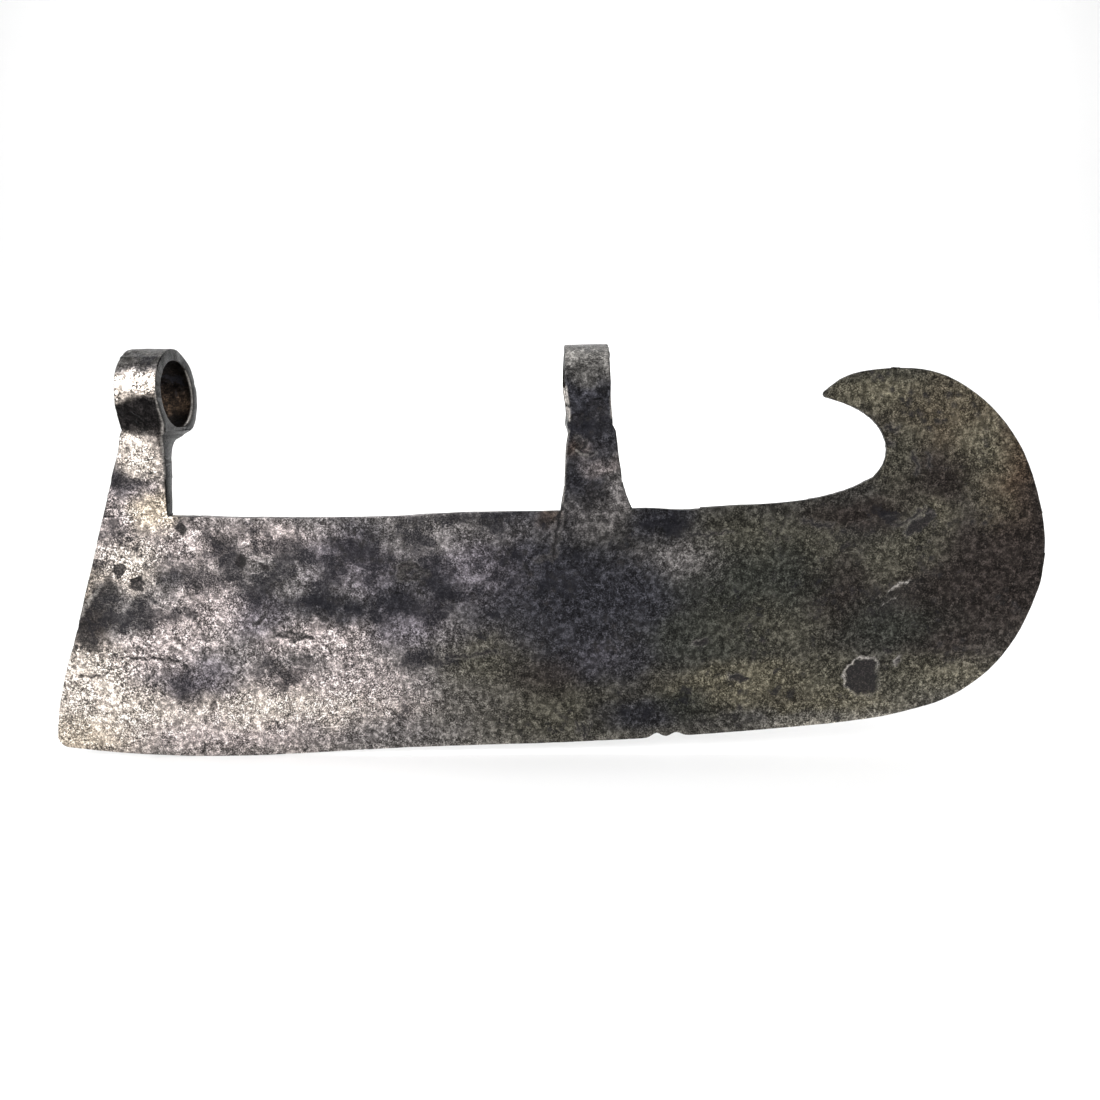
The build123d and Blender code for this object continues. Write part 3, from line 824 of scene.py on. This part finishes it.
# Lips and edges with Shine take a pale colour, partly rubbed wear and partly painted highlight.
dull_lip, bright_lip = (0.16, 0.15, 0.14, 1), (0.62, 0.58, 0.54, 1)
rubbed = blend(grain, ramp(grain, fine, 0.36, 0.56), dull_lip, bright_lip)
join(grain, blend(grain, took.outputs["Shine"], rusty, rubbed), gave.inputs["Color"])
rough = calc(grain, "ADD", 0.46, calc(grain, "MULTIPLY", speck, -0.07))
rough = calc(grain, "ADD", rough, calc(grain, "MULTIPLY", took.outputs["Dirt"], 0.3))
rough = calc(grain, "ADD", rough, calc(grain, "MULTIPLY", scale, 0.06))
join(grain, calc(grain, "SUBTRACT", rough, took.outputs["Smoothness"]), gave.inputs["Roughness"])
metal = calc(grain, "SUBTRACT", 0.95, calc(grain, "MULTIPLY", took.outputs["Dirt"], 0.7))
join(grain, metal, gave.inputs["Metallic"])
relief = calc(
    grain, "SUBTRACT", calc(grain, "MULTIPLY", fine, 0.5), calc(grain, "MULTIPLY", pores, 0.35)
)
join(grain, calc(grain, "ADD", relief, calc(grain, "MULTIPLY", medium, 0.4)), gave.inputs["Height"])
print("grain group:", len(grain.nodes), "nodes")


# %% A material that uses the grain
def old_iron(name, speckle, smoothness, bump):
    """Iron with the grain group between its attributes and its shader."""
    material = bpy.data.materials.new(name)
    material.use_nodes = True
    tree = material.node_tree
    shader = tree.nodes["Principled BSDF"]
    coordinates = tree.nodes.new("ShaderNodeTexCoord")
    in_mm = tree.nodes.new("ShaderNodeVectorMath")
    in_mm.operation = "SCALE"
    in_mm.inputs["Scale"].default_value = 1000
    tree.links.new(coordinates.outputs["Object"], in_mm.inputs[0])
    use = tree.nodes.new("ShaderNodeGroup")
    use.node_tree = grain
    join(tree, in_mm.outputs[0], use.inputs["Place"])
    for label, source, kind in (
        ("Patina", "patina", "Color"), ("Dirt", "dirt", "Fac"),
        ("Scale Cover", "scale_cover", "Fac"), ("Shine", "shine", "Fac"),
    ):
        read = tree.nodes.new("ShaderNodeAttribute")
        read.attribute_name = source
        join(tree, read.outputs[kind], use.inputs[label])
    use.inputs["Speckle"].default_value = speckle
    use.inputs["Smoothness"].default_value = smoothness
    for label, socket in (
        ("Color", "Base Color"), ("Roughness", "Roughness"), ("Metallic", "Metallic"),
    ):
        join(tree, use.outputs[label], shader.inputs[socket])
    raised = tree.nodes.new("ShaderNodeBump")
    raised.inputs["Strength"].default_value = bump
    raised.inputs["Distance"].default_value = 0.5 * mm
    join(tree, use.outputs["Height"], raised.inputs["Height"])
    join(tree, raised.outputs["Normal"], shader.inputs["Normal"])
    return material


blade_finish = old_iron("blade_iron", 1.05, 0.0, 0.8)
edge_finish = old_iron("edge_steel", 1.0, 0.03, 0.7)
heel_finish = old_iron("heel_strap_iron", 1.2, 0.10, 0.5)
centre_finish = old_iron("centre_strap_iron", 0.85, 0.08, 0.7)

# %% [markdown]
# ## The pieces
#
# Each piece starts as the CAD node, is cut into small faces, and is then moved along
# its own outward directions. Only faces that show give a direction, so the hidden faces
# where two forgings meet stay where they are, and a shared line moves alike on both.

# %% Outward directions from the faces that show
def from_mesh(collection, name, width):
    """One property of every element of a mesh, as an array."""
    values = np.zeros(len(collection) * width)
    collection.foreach_get(name, values)
    return values.reshape(-1, width) if width > 1 else values


def directions(mesh, neighbours, boxes):
    """The outward direction at each vertex; zero where nothing shows."""
    centres = from_mesh(mesh.polygons, "center", 3)
    normals = from_mesh(mesh.polygons, "normal", 3)
    close = np.zeros(len(centres), bool)
    for low, high in boxes:
        inside = (centres > np.array(low) - 0.1 * mm) & (centres < np.array(high) + 0.1 * mm)
        close |= inside.all(axis=1)
    shown = np.ones(len(centres))
    for i in np.flatnonzero(close):
        if meets(neighbours, Vector(centres[i]), 0.03):
            shown[i] = 0
    weight = from_mesh(mesh.polygons, "area", 1) * shown
    corners = from_mesh(mesh.polygons, "loop_total", 1).astype(int)
    owner = np.repeat(np.arange(len(centres)), corners)
    corner = from_mesh(mesh.loops, "vertex_index", 1).astype(int)
    total = np.zeros((len(mesh.vertices), 3))
    np.add.at(total, corner, normals[owner] * weight[owner, None])
    length = np.linalg.norm(total, axis=1, keepdims=True)
    return np.where(length > 1e-14, total / np.maximum(length, 1e-14), 0.0)


# %% Hammer a piece: move its vertices and paint its attributes
def in_eyes(points):
    """1 on the eyes and their necks, 0 on the blade, with a soft step at the spine."""
    return smooth((points[:, 2] + 58) / 20) * (points[:, 0] < 260)


def depth_scale(points):
    """How much rough_iron stretches Y: fully in the blade, hardly in the eyes."""
    return 5.0 - 3.8 * in_eyes(points)


def room_for_pits(points, hidden):
    """Thins the hidden tongue of the edge steel, and sets it back behind the deep pit."""
    off = points[:, 1] - BLADE_MIDDLE
    tongue = hidden & (np.abs(off) < 0.45)
    from_pit = np.hypot(points[:, 0] - 360, points[:, 2] + 149)
    behind = smooth((16 - from_pit) / 4)
    moved = points.copy()
    moved[:, 1] = np.where(tongue, BLADE_MIDDLE + 0.25 * off + 0.33 * behind, points[:, 1])
    return moved


def hammer(mesh, neighbours, boxes):
    """Moves the surface by its dents, pits and marks, and stores its patina, dirt,
    scale and shine."""
    out = directions(mesh, neighbours, boxes)
    points = from_mesh(mesh.vertices, "co", 3) / mm
    x, z = points[:, 0], points[:, 2]
    spread = points * np.stack([np.ones_like(x), depth_scale(points), np.ones_like(x)], 1)
    height, dirt = rough_iron(spread)
    front = smooth((-out[:, 1] - 0.45) / 0.3)
    back = smooth((out[:, 1] - 0.45) / 0.3)
    thin_edge = np.where(np.abs(points[:, 1] - BLADE_MIDDLE) < 0.9, 0.4, 1.0)
    front_height, front_dirt, front_shine = marks(x, z, FRONT_PITS, FRONT_CRACKS, FRONT_FLAKES)
    back_height, back_dirt, back_shine = marks(x, z, BACK_PITS, BACK_CRACKS, [])
    colour = patina(points, out)
    height = height * thin_edge + front * front_height + back * back_height
    dirt = np.maximum(dirt, np.maximum(front * front_dirt, back * back_dirt))
    # Dirt is paler than the darkest patina, so none goes on there.
    dirt = np.where(colour[:, 0] < 0.013, 0.0, dirt)
    facing_out = smooth((-out[:, 1] - 0.1) / 0.3)
    shine = np.maximum(front * front_shine, back * back_shine)
    # Painted highlights along the strap edges go into the same attribute as the lips.
    shine = np.maximum(shine, facing_out * painted_edge_highlights(x, z))
    height = height * (1 + 0.9 * in_eyes(points))
    hidden = ~out.any(axis=1)
    points = pushed(room_for_pits(points, hidden) + out * height[:, None]) * mm
    mesh.vertices.foreach_set("co", points.ravel())
    tint = mesh.attributes.new("patina", "FLOAT_COLOR", "POINT")
    tint.data.foreach_set("color", np.column_stack([colour, np.ones(len(x))]).ravel())
    for name, values in (("dirt", dirt), ("scale_cover", scale_cover(x, z)), ("shine", shine)):
        mesh.attributes.new(name, "FLOAT", "POINT").data.foreach_set("value", values)
    mesh.update()
    mesh.set_sharp_from_angle(angle=radians(42))
    return height


# %% Where the front needs smaller faces
def split_near_marks(bm):
    """Splits faces of the front that lie on a pit, a crack or a flake."""
    spots = [(place, max(size) * 1.25) for place, size, *_ in FRONT_PITS]
    lines = [(points, 1.6) for points, *_ in FRONT_CRACKS]
    lines += [(points, 2.2) for points, *_ in FRONT_FLAKES]
    shown = [f for f in bm.faces if f.normal.y < -0.8]
    centres = np.array([f.calc_center_median() for f in shown]) / mm
    x, z = centres[:, 0], centres[:, 2]
    chosen = np.zeros(len(shown), bool)
    for place, reach in spots:
        chosen |= np.hypot(x - place[0], z - place[1]) < reach
    for points, reach in lines:
        chosen |= to_line(x, z, points) < reach
    edges = {e for f, wanted in zip(shown, chosen) if wanted for e in f.edges}
    bmesh.ops.subdivide_edges(bm, edges=list(edges), cuts=1, use_grid_fill=True)


# %% One piece from one node
def forge(node, name, others, edge_width, rows, material):
    """Builds one piece from one CAD node; others are the nodes that it touches."""
    bm = merged_copy(node)
    neighbours = surface_of(others)
    worn = wear_edges(bm, neighbours, edge_width)
    for direction, start, stop, step, keep in rows:
        cut_rows(bm, direction, start, stop, step, keep)
    split_near_marks(bm)
    # Two cuts that all but meet leave slivers, which collapse here.
    bmesh.ops.dissolve_degenerate(bm, dist=0.004 * mm, edges=bm.edges)
    piece = finish_mesh(bm, name, material)
    height = hammer(piece.data, neighbours, [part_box(other) for other in others])
    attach(piece, "root")
    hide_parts(node)
    corners = from_mesh(piece.data.polygons, "loop_total", 1)
    print(f"{name}: {worn} edges worn, {int((corners - 2).sum())} triangles,"
          f" surface moved {height.min():.2f} to {height.max():.2f} mm")
    return piece


# %% [markdown]
# The blade is cut in rows along its length and its height. Its two faces are almost
# flat, so rows a little over a millimetre apart are enough, and only the faces under a
# mark are split again.

# %% Blade
ROW = 1.3  # the height of a row, in mm
blade_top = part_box("blade_body")[1]
along_blade = ((1, 0, 0), -62.4, blade_top.x / mm, ROW, None)
up_blade = ((0, 0, 1), -188.3, blade_top.z / mm, ROW, None)
blade = forge(
    "blade_body", "blade_forging", ["edge_steel", "heel_strap", "centre_strap"], 0.8,
    [along_blade, up_blade], blade_finish,
)

# %% Steel along the cutting edge
up_edge = ((0, 0, 1), -188.3, -84, ROW, None)
edge_strip = forge(
    "edge_steel", "edge_steel_strip", ["blade_body"], 0.18, [along_blade, up_edge], edge_finish,
)


# %% The two eye straps
def in_ring(face):
    """True for a face of the ring, which is cut by planes that turn about the bore."""
    return face.calc_center_median().z > -18 * mm


def in_neck(face):
    """True for a face of the neck or a leg, which are cut level."""
    return face.calc_center_median().z <= -17 * mm


def eye_strap(node, name, material):
    """An eye strap: rows across its width, level rows, and rows that turn."""
    low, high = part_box(node)
    rows = [((1, 0, 0), low.x / mm + 0.4, high.x / mm, 1.0, None)]
    for turn in range(0, 180, 3):
        rows.append(((0, cos(radians(turn)), sin(radians(turn))), 0, 0, 1, in_ring))
    rows.append(((0, 0, 1), -91.5, -17.3, 1.0, in_neck))
    forge(node, name, ["blade_body"], 1.0, rows, material)


eye_strap("heel_strap", "heel_eye_strap", heel_finish)
eye_strap("centre_strap", "centre_eye_strap", centre_finish)
